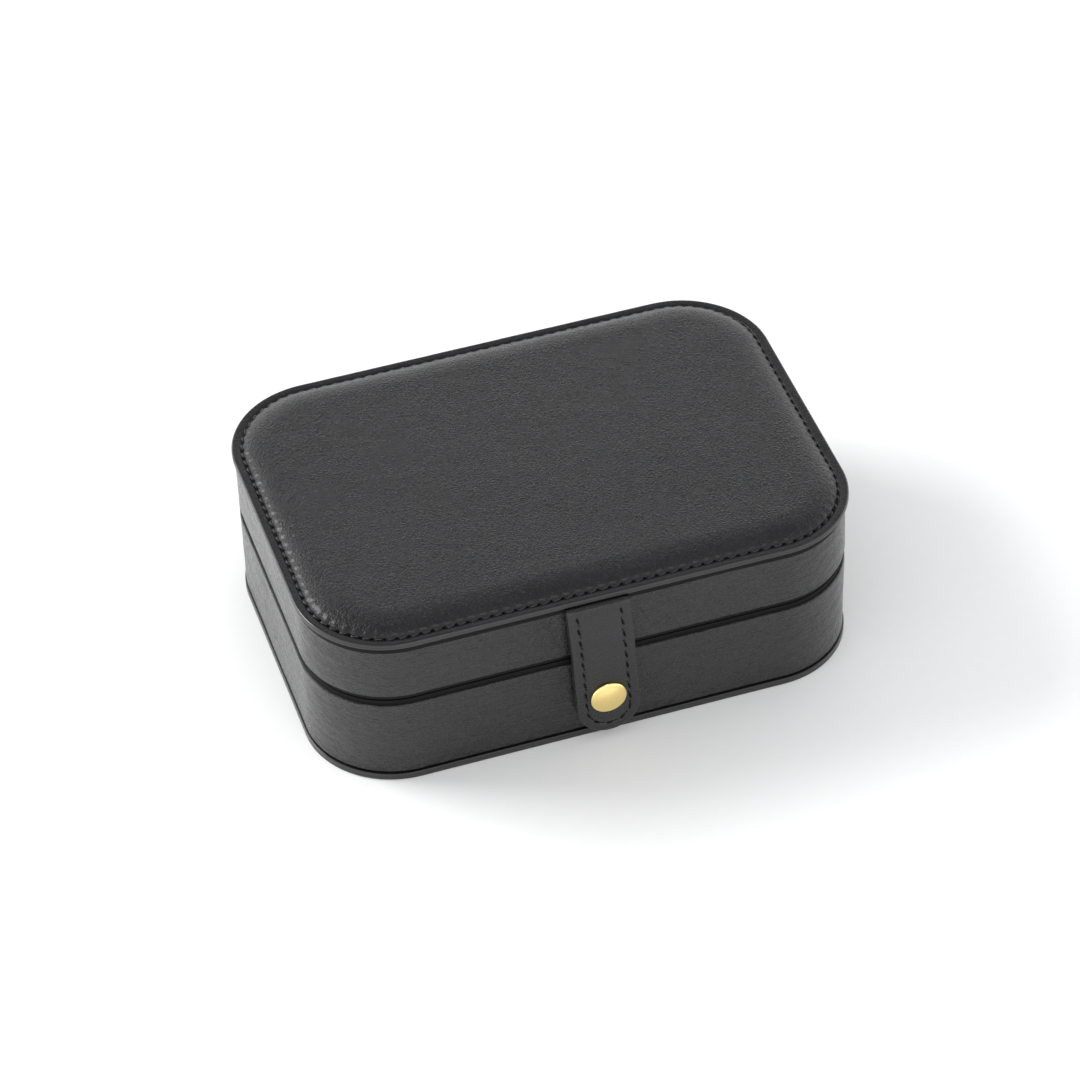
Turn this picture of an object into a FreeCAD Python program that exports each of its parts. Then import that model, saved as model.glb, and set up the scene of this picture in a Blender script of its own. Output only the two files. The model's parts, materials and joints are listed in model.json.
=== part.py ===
"""Padded leather jewellery case with a snap strap: a hinged lid over a lined base with ring rolls.

Millimetres. Origin at the centre of the bottom face, +X along the long side, -Y is the front
with the strap, +Z up. Sub-parts that follow the case's outline are rounded rectangles, all
set in from the outline of the top panel by an amount called an inset.
"""
import FreeCAD, Part
import math
import os
from FreeCAD import Vector

# Outline of the top panel, the widest part of the case
case_length = 152.0
case_depth = 107.3
corner_radius = 25.1

# Heights, counted from the table
bottom_panel_top = 2.0
sole_thickness = 0.9
wall_shadow_gap = 0.3
seam_height = 28.5
seam_gap = 0.4
panel_underside = 47.75
panel_layer = 0.8
crown_rise = 2.55

# Insets and thicknesses of the walls
bottom_inset = 0.35
wall_inset = 0.7
wall_leather = 0.9
wall_board = 2.2
wall_lining = 0.8
rim_radius = 1.45
floor_pad_thickness = 1.6
lid_board_thickness = 1.75

# Padded crown of the top panel
crown_inset = 3.8
crown_run = 8.5
crown_steps = 6

# Ring rolls and dividers
ring_bay_width = 62.0
ring_roll_count = 6
ring_roll_gap = 0.55
ring_roll_height = 15.0
ring_roll_end_gap = 0.2
divider_thickness = 2.4
divider_height = 20.0

# Mirror inside the lid
mirror_length = 118.0
mirror_depth = 72.0
mirror_radius = 6.0
mirror_thickness = 1.6
mirror_gap = 0.1
border_thickness = 0.7
border_lap = 2.5
border_reach = 4.0

# Hinge: a leather spine let into the back wall, and a slack lining strip that stops the lid
spine_length = 94.0
spine_half_height = 8.0
spine_gap = 0.1
strip_length = 92.0
strip_thickness = 0.5
strip_tab = 3.0
strip_loop_radius = 1.86
strip_loop_half_chord = 1.6

# Strap and snap
strap_width = 17.3
strap_leather = 1.3
strap_backing = 0.9
strap_lean_deg = 3.0
strap_tip_height = 3.0
strap_top_clearance = 0.15
strap_kick = 1.3
strap_kick_height = 14.0
strap_hinge_height = 46.4
strap_outline_margin = 1.0
anchor_reach = 9.0
anchor_thickness = 1.4
anchor_gap = 0.1
snap_height = 15.6
cap_radius = 5.0
cap_rim = 0.8
cap_height = 2.4
barrel_radius = 2.4
barrel_bore_radius = 1.9
socket_radius = 4.2
socket_thickness = 0.7
stud_flange_radius = 3.4
stud_flange_thickness = 0.5
stud_post_radius = 1.5
stud_post_length = 2.5
stud_neck_radius = 1.2
stud_shank_radius = 1.2
washer_radius = 3.5
washer_thickness = 0.6

# Levels and faces that follow from the sizes above
base_rim_top = seam_height - seam_gap / 2
lid_rim_bottom = seam_height + seam_gap / 2
base_frame_top = base_rim_top - wall_leather
lid_frame_bottom = lid_rim_bottom + wall_leather
panel_top = panel_underside + 2 * panel_layer
frame_inset = wall_inset + wall_leather
lining_inset = frame_inset + wall_board
cavity_inset = lining_inset + wall_lining
floor_top = bottom_panel_top + floor_pad_thickness
lid_board_bottom = panel_underside - lid_board_thickness
ceiling_bottom = lid_board_bottom - mirror_thickness
front_wall = -case_depth / 2 + wall_inset
back_wall = case_depth / 2 - wall_inset
cavity_half_length = case_length / 2 - cavity_inset
cavity_half_depth = case_depth / 2 - cavity_inset
strap_thickness = strap_leather + strap_backing
strap_hinge_y = front_wall - strap_top_clearance - strap_thickness / 2
strap_face = front_wall - strap_top_clearance - strap_kick - strap_thickness
strap_back = strap_face + strap_thickness
strap_root_x = -(strap_hinge_height - snap_height) * math.tan(math.radians(strap_lean_deg))
lid_hinge_y = back_wall - wall_leather / 2

outward = Vector(0, -1, 0)

# How far apart two measures may be and still count as the same
tolerance = 1e-4


def rounded_outline(length, depth, radius, z):
    """Closed wire of a rounded rectangle centred on the Z axis."""
    x = length / 2
    y = depth / 2
    flat_x = x - radius
    flat_y = y - radius
    bulge = radius * math.sqrt(0.5)
    edges = []
    for sx, sy, turn in ((1, -1, False), (1, 1, True), (-1, 1, False), (-1, -1, True)):
        middle = Vector(sx * (flat_x + bulge), sy * (flat_y + bulge), z)
        on_end = Vector(sx * x, sy * flat_y, z)
        on_side = Vector(sx * flat_x, sy * y, z)
        start, end = (on_end, on_side) if turn else (on_side, on_end)
        if edges:
            edges.append(Part.makeLine(edges[-1].Vertexes[-1].Point, start))
        edges.append(Part.Arc(start, middle, end).toShape())
    edges.append(Part.makeLine(edges[-1].Vertexes[-1].Point, edges[0].Vertexes[0].Point))
    return Part.Wire(edges)


def case_outline(inset, z):
    """The case's own outline, drawn in by an inset."""
    return rounded_outline(case_length - 2 * inset, case_depth - 2 * inset, corner_radius - inset, z)


def plate(outline, height):
    """Flat solid that stands on an outline."""
    return Part.Face(outline).extrude(Vector(0, 0, height))


def case_plate(inset, low, high):
    """Flat solid in the case's outline."""
    return plate(case_outline(inset, low), high - low)


def case_ring(outer_inset, inner_inset, low, high):
    """Wall of even thickness that follows the case's outline."""
    return case_plate(outer_inset, low, high).cut(case_plate(inner_inset, low, high))


def block(x_low, x_high, y_low, y_high, z_low, z_high):
    """Box between two opposite corners."""
    return Part.makeBox(x_high - x_low, y_high - y_low, z_high - z_low, Vector(x_low, y_low, z_low))


def edges_at_height(solid, z):
    """Edges that lie flat at one height."""
    return [e for e in solid.Edges
            if abs(e.BoundBox.ZMin - z) < tolerance and abs(e.BoundBox.ZMax - z) < tolerance]


def crown(inset, run, low):
    """Low dome whose edge rises like a quarter of an ellipse."""
    sections = []
    for step in range(crown_steps + 1):
        angle = math.pi / 2 * step / crown_steps
        sections.append(case_outline(inset + run * (1 - math.cos(angle)), low + crown_rise * math.sin(angle)))
    return Part.makeLoft(sections, True, True)


def pin(radius, start_y, length, x=0.0, z=snap_height):
    """Round bar that runs outward from the front wall."""
    return Part.makeCylinder(radius, length, Vector(x, start_y, z), outward)


# Base

def bottom_panel_sole():
    return case_plate(bottom_inset, 0, sole_thickness)


def bottom_panel_board():
    return case_plate(bottom_inset, sole_thickness, bottom_panel_top)


def base_wall_frame():
    frame = case_ring(frame_inset, lining_inset, bottom_panel_top, base_frame_top)
    return frame.cut(stud_hole()).cut(washer_recess())


def base_wall_leather():
    """Outer leather, turned over the frame and the lining in a round rim."""
    low = bottom_panel_top + wall_shadow_gap
    skin = case_plate(wall_inset, low, base_rim_top)
    skin = skin.makeFillet(rim_radius, edges_at_height(skin, base_rim_top))
    skin = skin.cut(case_plate(frame_inset, low, base_frame_top))
    skin = skin.cut(case_plate(cavity_inset, low, base_rim_top))
    return skin.cut(spine_recess()).cut(stud_hole())


def base_wall_lining():
    return case_ring(lining_inset, cavity_inset, bottom_panel_top, base_frame_top)


def base_floor_pad():
    return case_plate(cavity_inset, bottom_panel_top, floor_top)


def ring_roll(number):
    """Soft roll across the middle bay, flat below and round on top."""
    pitch = 2 * cavity_half_depth / ring_roll_count
    centre = -cavity_half_depth + pitch * (number - 0.5)
    radius = (pitch - ring_roll_gap) / 2
    spring = floor_top + ring_roll_height - radius
    half_length = (ring_bay_width - divider_thickness) / 2 - ring_roll_end_gap
    left = -half_length
    foot = Part.makePolygon([Vector(left, centre + radius, spring), Vector(left, centre + radius, floor_top),
                             Vector(left, centre - radius, floor_top), Vector(left, centre - radius, spring)])
    top = Part.Arc(Vector(left, centre - radius, spring), Vector(left, centre, spring + radius),
                   Vector(left, centre + radius, spring)).toShape()
    return Part.Face(Part.Wire(foot.Edges + [top])).extrude(Vector(2 * half_length, 0, 0))


def bay_divider(side):
    """Padded wall from front to back beside the ring bay."""
    centre = side * ring_bay_width / 2
    return block(centre - divider_thickness / 2, centre + divider_thickness / 2,
                 -cavity_half_depth, cavity_half_depth, floor_top, floor_top + divider_height)


def side_divider():
    """Short wall that halves the right-hand bay."""
    return block(ring_bay_width / 2 + divider_thickness / 2, cavity_half_length,
                 -divider_thickness / 2, divider_thickness / 2, floor_top, floor_top + divider_height)


# Hinge

def spine_block(gap):
    """Room for the spine in the back wall, with a gap all round it."""
    half = spine_length / 2 + gap
    reach = spine_half_height + gap
    return block(-half, half, back_wall - wall_leather, back_wall, seam_height - reach, seam_height + reach)


def spine_recess():
    return spine_block(spine_gap)


def hinge_spine():
    return spine_block(0)


def hinge_lining_strip():
    """Strip glued inside both back walls, with a slack loop between them for the lid to draw out."""
    half = strip_length / 2
    face = cavity_half_depth
    middle = face - strip_thickness / 2
    sink = math.sqrt(strip_loop_radius ** 2 - strip_loop_half_chord ** 2)
    centre = Vector(-half, middle - sink, seam_height)
    along = Vector(1, 0, 0)
    loop = Part.makeCylinder(strip_loop_radius + strip_thickness / 2, strip_length, centre, along)
    loop = loop.cut(Part.makeCylinder(strip_loop_radius - strip_thickness / 2, strip_length, centre, along))
    reach = strip_loop_radius + strip_thickness
    loop_back = face - 3 * reach
    loop = loop.common(block(-half, half, loop_back, face, seam_height - reach, seam_height + reach))
    start = strip_loop_half_chord
    for side in (-1, 1):
        low, high = sorted((seam_height + side * start, seam_height + side * (start + strip_tab)))
        loop = loop.fuse(block(-half, half, face - strip_thickness, face, low, high))
    gap_low = seam_height - start
    return loop.cut(block(-half, half, middle, face, gap_low, gap_low + 2 * start)).removeSplitter()


def lid_angle_when_taut():
    """Degrees the lid opens before the lining strip is straight between its two tabs."""
    arm = lid_hinge_y - (cavity_half_depth - strip_thickness / 2)
    reach = math.hypot(arm, strip_loop_half_chord)
    closed = 2 * math.atan2(strip_loop_half_chord, arm)
    free_length = 2 * strip_loop_radius * (math.pi - math.asin(strip_loop_half_chord / strip_loop_radius))
    return math.degrees(2 * (math.pi / 2 - abs(math.pi / 2 - math.asin(min(1, free_length / (2 * reach))))) - closed)


# Lid

def lid_wall_frame():
    return case_ring(frame_inset, lining_inset, lid_frame_bottom, panel_underside).cut(anchor_slot())


def lid_wall_leather():
    """Outer leather of the lid, turned over the lower edge in a round rim."""
    skin = case_plate(wall_inset, lid_rim_bottom, panel_underside)
    skin = skin.makeFillet(rim_radius, edges_at_height(skin, lid_rim_bottom))
    skin = skin.cut(case_plate(frame_inset, lid_frame_bottom, panel_underside))
    skin = skin.cut(case_plate(cavity_inset, lid_rim_bottom, panel_underside))
    return skin.cut(spine_recess()).cut(anchor_slot())


def lid_wall_lining():
    return case_ring(lining_inset, cavity_inset, lid_frame_bottom, lid_board_bottom)


def lid_top_board():
    return case_plate(lining_inset, lid_board_bottom, panel_underside).cut(anchor_slot())


def top_panel_backing():
    return case_plate(0, panel_underside, panel_underside + panel_layer)


def top_pad_foam():
    return crown(crown_inset + panel_layer, crown_run - panel_layer, panel_top - panel_layer)


def top_panel_leather():
    """Flange sheet that is stitched down all round, in one piece with the crown over the pad."""
    sheet = case_plate(0, panel_top - panel_layer, panel_top)
    return sheet.fuse(crown(crown_inset, crown_run, panel_top)).removeSplitter().cut(top_pad_foam())


def mirror_outline(grow, z):
    """The mirror's outline, grown by an amount on every side."""
    return rounded_outline(mirror_length + 2 * grow, mirror_depth + 2 * grow, mirror_radius + grow, z)


def lid_ceiling_lining():
    ceiling = case_plate(cavity_inset, ceiling_bottom, lid_board_bottom)
    return ceiling.cut(plate(mirror_outline(mirror_gap, ceiling_bottom), mirror_thickness))


def lid_mirror():
    return plate(mirror_outline(0, ceiling_bottom), mirror_thickness)


def mirror_border():
    """Flat frame that laps over the mirror's edge and holds it up."""
    low = ceiling_bottom - border_thickness
    frame = plate(mirror_outline(border_reach, low), border_thickness)
    return frame.cut(plate(mirror_outline(-border_lap, low), border_thickness))


# Strap

def anchor_block(gap):
    """Room for the strap's root between the wall and the top panel, with a gap at its sides."""
    half = strap_width / 2 + gap
    return block(strap_root_x - half, strap_root_x + half, front_wall, front_wall + anchor_reach + gap,
                 panel_underside - anchor_thickness - gap, panel_underside)


def anchor_slot():
    return anchor_block(anchor_gap)


def strap_anchor_tab():
    return anchor_block(0)


def strap_band(near, far):
    """Side section of one strap layer, between two depths behind the strap's face."""
    half_kick = strap_kick / 2
    half_drop = strap_kick_height / 2
    bend = (half_kick ** 2 + half_drop ** 2) / strap_kick
    face_at_hinge = strap_face + strap_kick
    upper = Vector(0, face_at_hinge - bend, strap_hinge_height)
    lower = Vector(0, strap_face + bend, strap_hinge_height - strap_kick_height)
    sweep = math.asin(half_drop / bend)

    def side(depth):
        arcs = []
        for centre, radius, first, last in ((upper, bend + depth, 0, -sweep), (lower, depth - bend, sweep, 0)):
            points = [centre + Vector(0, radius * math.cos(a), abs(radius) * math.sin(a))
                      for a in (first, (first + last) / 2, last)]
            arcs.append(Part.Arc(*points).toShape())
        return arcs

    def foot(depth):
        return Vector(0, strap_face + depth, strap_tip_height)

    near_side = side(near)
    far_side = side(far)
    near_top, near_bottom = near_side[0].Vertexes[0].Point, near_side[-1].Vertexes[-1].Point
    far_top, far_bottom = far_side[0].Vertexes[0].Point, far_side[-1].Vertexes[-1].Point
    edges = near_side + [Part.makeLine(near_bottom, foot(near)), Part.makeLine(foot(near), foot(far))]
    edges += [Part.makeLine(foot(far), far_bottom)] + far_side + [Part.makeLine(far_top, near_top)]
    band = Part.Face(Part.Wire(Part.sortEdges(edges)[0])).extrude(Vector(2 * strap_width, 0, 0))
    band.translate(Vector(-strap_width, 0, 0))
    return band


def strap_root_fold():
    """Half-round fold at the top of the strap, on the line that it hinges about."""
    start = Vector(-strap_width, strap_hinge_y, strap_hinge_height)
    fold = Part.makeCylinder(strap_thickness / 2, 2 * strap_width, start, Vector(1, 0, 0))
    return fold.common(block(-strap_width, strap_width, strap_hinge_y - strap_thickness,
                             strap_hinge_y + strap_thickness, strap_hinge_height,
                             strap_hinge_height + strap_thickness))


def strap_outline():
    """The strap seen from the front, leaned about the snap: straight sides and a round tip."""
    half = strap_width / 2
    front = strap_face - strap_outline_margin
    tip_centre = strap_tip_height + half
    outline = pin(half, front_wall, front_wall - front, 0, tip_centre)
    outline = outline.fuse(block(-half, half, front, front_wall, tip_centre, panel_top))
    outline.rotate(Vector(0, 0, snap_height), Vector(0, 1, 0), -strap_lean_deg)
    return outline


def strap_layer(band):
    """One layer of the strap, cut to its outline and drilled for the snap."""
    layer = band.common(strap_outline())
    return layer.cut(pin(barrel_radius, front_wall, strap_thickness + 2 * strap_kick)).removeSplitter()


def strap_outer_leather():
    return strap_layer(strap_band(0, strap_leather).fuse(strap_root_fold()))


def strap_inner_leather():
    return strap_layer(strap_band(strap_leather, strap_thickness))


def snap_cap():
    """Domed cap with a barrel that goes through the strap."""
    flat = cap_radius - cap_rim / 2
    edge = Part.Arc(Vector(flat, 0, 0), Vector(cap_radius, 0, cap_rim / 2), Vector(flat, 0, cap_rim)).toShape()
    crest = cap_height - cap_rim
    dome_radius = (flat ** 2 + crest ** 2) / (2 * crest)
    half_angle = math.asin(flat / dome_radius) / 2
    shoulder = Vector(dome_radius * math.sin(half_angle), 0,
                      cap_height - dome_radius * (1 - math.cos(half_angle)))
    dome = Part.Arc(Vector(flat, 0, cap_rim), shoulder, Vector(0, 0, cap_height)).toShape()
    stem = Part.makePolygon([Vector(0, 0, cap_height), Vector(0, 0, 0), Vector(flat, 0, 0)])
    cap = Part.Face(Part.Wire([edge, dome] + stem.Edges)).revolve(Vector(), Vector(0, 0, 1), 360)
    barrel = Part.makeCylinder(barrel_radius, strap_thickness, Vector(0, 0, -strap_thickness))
    barrel = barrel.cut(Part.makeCylinder(barrel_bore_radius, strap_thickness, Vector(0, 0, -strap_thickness)))
    cap = cap.fuse(barrel).removeSplitter()
    cap.rotate(Vector(), Vector(1, 0, 0), 90)
    cap.translate(Vector(0, strap_face, snap_height))
    return cap


def snap_socket():
    """Ring on the back of the strap that the stud clicks into."""
    start = strap_back + socket_thickness
    ring = pin(socket_radius, start, socket_thickness)
    ring = ring.cut(pin(barrel_bore_radius, start, socket_thickness))
    outer_edges = [e for e in edges_of_radius(ring, socket_radius) if e.BoundBox.YMax > start - tolerance]
    return ring.makeFillet(socket_thickness / 3, outer_edges)


def edges_of_radius(solid, radius):
    """Round edges of one radius."""
    return [e for e in solid.Edges
            if hasattr(e.Curve, "Radius") and abs(e.Curve.Radius - radius) < tolerance]


def snap_stud():
    """Stud on the front wall: a shank through the wall, a flange and a post with a narrow neck."""
    shank_length = wall_leather + wall_board
    shank = pin(stud_shank_radius, front_wall + shank_length, shank_length)
    flange = pin(stud_flange_radius, front_wall, stud_flange_thickness)
    post_start = front_wall - stud_flange_thickness
    neck_length = stud_post_length / 2
    neck = pin(stud_neck_radius, post_start, neck_length)
    head = pin(stud_post_radius, post_start - neck_length, stud_post_length - neck_length)
    head = head.makeFillet(stud_post_radius / 3, edges_of_radius(head, stud_post_radius))
    return shank.fuse([flange, neck, head]).removeSplitter()


def stud_hole():
    length = wall_leather + wall_board
    return pin(stud_shank_radius, front_wall + length, length)


def washer_recess():
    return pin(washer_radius, front_wall + wall_leather + wall_board, washer_thickness)


def snap_washer():
    """Washer that the stud's shank is riveted over, behind the lining."""
    return washer_recess().cut(stud_hole())


def build_nodes():
    nodes = {
        "bottom_panel_sole": bottom_panel_sole(),
        "bottom_panel_board": bottom_panel_board(),
        "base_wall_frame": base_wall_frame(),
        "base_wall_leather": base_wall_leather(),
        "base_wall_lining": base_wall_lining(),
        "base_floor_pad": base_floor_pad(),
        "divider_left": bay_divider(-1),
        "divider_right": bay_divider(1),
        "divider_side": side_divider(),
        "hinge_spine": hinge_spine(),
        "hinge_lining_strip": hinge_lining_strip(),
        "snap_stud": snap_stud(),
        "snap_washer": snap_washer(),
        "lid_wall_frame": lid_wall_frame(),
        "lid_wall_leather": lid_wall_leather(),
        "lid_wall_lining": lid_wall_lining(),
        "lid_top_board": lid_top_board(),
        "lid_ceiling_lining": lid_ceiling_lining(),
        "lid_mirror": lid_mirror(),
        "mirror_border": mirror_border(),
        "top_panel_backing": top_panel_backing(),
        "top_pad_foam": top_pad_foam(),
        "top_panel_leather": top_panel_leather(),
        "strap_anchor_tab": strap_anchor_tab(),
        "strap_outer_leather": strap_outer_leather(),
        "strap_inner_leather": strap_inner_leather(),
        "snap_cap": snap_cap(),
        "snap_socket": snap_socket(),
    }
    for number in range(1, ring_roll_count + 1):
        nodes[f"ring_roll_{number}"] = ring_roll(number)
    return nodes


os.makedirs("parts", exist_ok=True)
for name, shape in build_nodes().items():
    shape.exportStep(f"parts/{name}.step")
    print(name, len(shape.Solids), shape.isValid(), round(shape.Volume, 1))
print("lid taut at", round(lid_angle_when_taut(), 1), "degrees")
print("lid hinge", lid_hinge_y, seam_height)
print("strap hinge", strap_hinge_y, strap_hinge_height)
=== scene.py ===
import json
import math
import bmesh
import bpy
from mathutils import Matrix, Vector, noise


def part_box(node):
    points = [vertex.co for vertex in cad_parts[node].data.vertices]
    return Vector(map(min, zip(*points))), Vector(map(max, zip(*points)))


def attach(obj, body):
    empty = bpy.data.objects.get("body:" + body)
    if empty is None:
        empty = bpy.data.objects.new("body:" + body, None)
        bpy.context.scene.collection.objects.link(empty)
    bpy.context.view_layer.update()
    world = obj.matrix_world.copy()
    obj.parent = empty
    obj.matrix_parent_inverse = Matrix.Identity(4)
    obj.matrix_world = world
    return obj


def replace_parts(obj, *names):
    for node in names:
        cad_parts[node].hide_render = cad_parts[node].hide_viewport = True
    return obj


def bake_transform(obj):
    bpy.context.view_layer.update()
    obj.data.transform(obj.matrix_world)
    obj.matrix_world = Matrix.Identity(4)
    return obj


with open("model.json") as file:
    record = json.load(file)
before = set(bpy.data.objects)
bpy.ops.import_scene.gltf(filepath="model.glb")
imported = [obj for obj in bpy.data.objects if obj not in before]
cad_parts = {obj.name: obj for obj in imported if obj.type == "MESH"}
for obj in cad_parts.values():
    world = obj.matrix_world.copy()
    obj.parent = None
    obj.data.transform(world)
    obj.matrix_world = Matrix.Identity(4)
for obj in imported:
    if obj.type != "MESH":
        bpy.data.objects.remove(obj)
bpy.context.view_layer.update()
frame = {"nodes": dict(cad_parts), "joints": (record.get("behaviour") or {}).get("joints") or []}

mm = 0.001
nodes = frame["nodes"]

# the case's own outline, from the top panel
panelLow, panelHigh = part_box("top_panel_backing")
caseLength = panelHigh.x - panelLow.x
caseDepth = panelHigh.y - panelLow.y
caseRadius = 25.1 * mm
wallLow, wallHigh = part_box("base_wall_leather")
wallInset = (caseLength - (wallHigh.x - wallLow.x)) / 2
hinge = Vector(frame["joints"][0]["pos_m"])
seamHeight = hinge.z


# small helpers, used all through

def deselectAll():
    if bpy.context.mode != "OBJECT":
        bpy.ops.object.mode_set(mode="OBJECT")
    bpy.ops.object.select_all(action="DESELECT")


def pickOnly(piece):
    deselectAll()
    piece.select_set(True)
    bpy.context.view_layer.objects.active = piece


def editPiece(piece):
    pickOnly(piece)
    bpy.ops.object.mode_set(mode="EDIT")


def selectParts(piece, kind, test):
    # picks faces, edges or verts in edit mode by a test on each
    bpy.ops.mesh.select_mode(type={"faces": "FACE", "edges": "EDGE", "verts": "VERT"}[kind])
    bpy.ops.mesh.select_all(action="DESELECT")
    mesh = bmesh.from_edit_mesh(piece.data)
    for part in getattr(mesh, kind):
        if test(part):
            part.select_set(True)
    mesh.select_flush_mode()
    bmesh.update_edit_mesh(piece.data)


def faceCentre(face):
    return face.calc_center_median()


def closeNormals(piece):
    editPiece(piece)
    bpy.ops.mesh.select_all(action="SELECT")
    bpy.ops.mesh.remove_doubles(threshold=0.002 * mm)
    bpy.ops.mesh.normals_make_consistent(inside=False)
    bpy.ops.object.mode_set(mode="OBJECT")


def smoothPiece(piece, angle=50):
    pickOnly(piece)
    bpy.ops.object.shade_smooth_by_angle(angle=math.radians(angle))


def applyModifier(piece, kind, name, settings):
    pickOnly(piece)
    modifier = piece.modifiers.new(name, kind)
    for key, value in settings.items():
        setattr(modifier, key, value)
    bpy.ops.object.modifier_apply(modifier=name)


def dress(piece, material, second=None, test=None):
    # test picks the faces that get the second material, by their centre and normal
    piece.data.materials.clear()
    piece.data.materials.append(material)
    if second:
        piece.data.materials.append(second)
        for face in piece.data.polygons:
            face.material_index = 1 if test(face.center, face.normal) else 0
    return piece


def join(name, row):
    deselectAll()
    for part in row:
        part.select_set(True)
    bpy.context.view_layer.objects.active = row[0]
    bpy.ops.object.join()
    whole = bpy.context.object
    whole.name = name
    return whole


def settle(piece, body):
    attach(piece, body)
    return piece


# the case's outline, as a walk from the middle of the front

def outlineLegs(inset):
    flatX = caseLength / 2 - caseRadius
    flatY = caseDepth / 2 - caseRadius
    radius = caseRadius - inset
    quarter = radius * math.pi / 2
    return flatX, flatY, radius, quarter


def outlineTotal(inset):
    flatX, flatY, _, quarter = outlineLegs(inset)
    return 4 * (flatX + flatY + quarter)


def outlinePoint(walked, inset):
    # place and direction at a distance walked round the outline
    flatX, flatY, radius, quarter = outlineLegs(inset)
    # length, whether it is a corner, and its start or its centre
    legs = ((flatX, False, (0, -flatY - radius)), (quarter, True, (flatX, -flatY)),
            (2 * flatY, False, (flatX + radius, -flatY)), (quarter, True, (flatX, flatY)),
            (2 * flatX, False, (flatX, flatY + radius)), (quarter, True, (-flatX, flatY)),
            (2 * flatY, False, (-flatX - radius, flatY)), (quarter, True, (-flatX, -flatY)),
            (flatX, False, (-flatX, -flatY - radius)))
    walked = walked % outlineTotal(inset)
    heading = 0.0
    for length, isCorner, (x, y) in legs:
        step = min(walked, length)
        if isCorner:
            turn = heading + step / radius
            place = Vector((x + radius * math.sin(turn), y - radius * math.cos(turn), 0))
            if walked <= length:
                return place, turn
            heading += math.pi / 2
        elif walked <= length:
            return Vector((x + step * math.cos(heading), y + step * math.sin(heading), 0)), heading
        walked -= length
    return Vector((0, -flatY - radius, 0)), 0.0


def outlineWalked(x, y, inset):
    # distance round the outline to the point nearest a place
    flatX, flatY, radius, quarter = outlineLegs(inset)
    halves = 2 * (flatX + flatY + quarter)
    turned = y > flatY or (abs(y) <= flatY and x < 0)
    if turned:
        x, y = -x, -y
    if x > flatX and y < -flatY:
        walked = flatX + radius * math.atan2(x - flatX, -(y + flatY))
    elif x > 0 and abs(y) <= flatY:
        walked = flatX + quarter + y + flatY
    elif x < -flatX:
        walked = -flatX - radius * math.atan2(-(x + flatX), -(y + flatY))
    else:
        walked = x
    return walked + (halves if turned else 0)


# shapes that follow the outline

def startPrimitive(name, addIt, place, size):
    # a plane or a cube of this size, left in edit mode with all of it selected
    deselectAll()
    addIt(size=1, location=place)
    piece = bpy.context.object
    piece.name = name
    piece.scale = size
    bpy.ops.object.transform_apply(location=True, rotation=False, scale=True)
    bpy.ops.object.mode_set(mode="EDIT")
    bpy.ops.mesh.select_all(action="SELECT")
    return piece


def startOutline(name, inset, z, facing, spacing, cornerSteps):
    # one face in the outline, ready to be drawn up or down in rings
    length = caseLength - 2 * inset
    depth = caseDepth - 2 * inset
    radius = caseRadius - inset
    piece = startPrimitive(name, bpy.ops.mesh.primitive_plane_add, (0, 0, z), (length, depth, 1))
    bpy.ops.mesh.bevel(offset=radius, affect="VERTICES", segments=cornerSteps, profile=0.5)
    for flat in (length - 2 * radius, depth - 2 * radius):
        selectParts(piece, "edges", lambda edge: abs(edge.calc_length() - flat) < 0.05 * mm)
        bpy.ops.mesh.subdivide(number_cuts=max(1, round(flat / spacing) - 1))
    selectParts(piece, "faces", lambda face: True)
    if facing < 0:
        bpy.ops.mesh.flip_normals()
    return piece


def drawUp(facing, height, steps):
    for _ in range(steps):
        move = {"value": (0, 0, facing * height / steps)}
        bpy.ops.mesh.extrude_region_move(TRANSFORM_OT_translate=move)


def drawRings(profile):
    # profile is how far in and how far out each ring goes from the ring before
    for inward, rise in profile:
        bpy.ops.mesh.inset(thickness=inward, depth=rise, use_even_offset=True)


def arcSteps(run, rise, steps, startAngle=0.0):
    # steps of a quarter ellipse that leaves steeply and arrives flat
    angles = [math.radians(startAngle + (90.0 - startAngle) * i / steps) for i in range(steps + 1)]
    points = [(run * (1 - math.cos(a)), rise * math.sin(a)) for a in angles]
    return [(b[0] - a[0], b[1] - a[1]) for a, b in zip(points, points[1:])]


def cutMiddle(piece, facing, spacing):
    # the last ring's one big face becomes a grid
    bpy.ops.object.mode_set(mode="OBJECT")
    biggest = max(piece.data.polygons, key=lambda face: face.area if face.normal.z * facing > 0.9 else 0)
    z = biggest.center.z

    def isMiddle(face):
        return abs(faceCentre(face).z - z) < 0.01 * mm and face.calc_area() > spacing ** 2 / 2

    spots = [piece.data.vertices[i].co for i in biggest.vertices]
    low = [min(spot[axis] for spot in spots) for axis in range(2)]
    high = [max(spot[axis] for spot in spots) for axis in range(2)]
    bpy.ops.object.mode_set(mode="EDIT")
    for axis in range(2):
        count = max(1, round((high[axis] - low[axis]) / spacing))
        for number in range(1, count):
            point = [0.0, 0.0, z]
            point[axis] = low[axis] + (high[axis] - low[axis]) * number / count
            selectParts(piece, "faces", isMiddle)
            bpy.ops.mesh.bisect(plane_co=point, plane_no=[1.0 - axis, axis, 0.0])


def sliceAcross(axis, places):
    # cuts all of the piece in edit mode by planes across one axis
    normal = [1.0 if i == axis else 0.0 for i in range(3)]
    for place in places:
        bpy.ops.mesh.select_all(action="SELECT")
        bpy.ops.mesh.bisect(plane_co=[place * share for share in normal], plane_no=normal)


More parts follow.
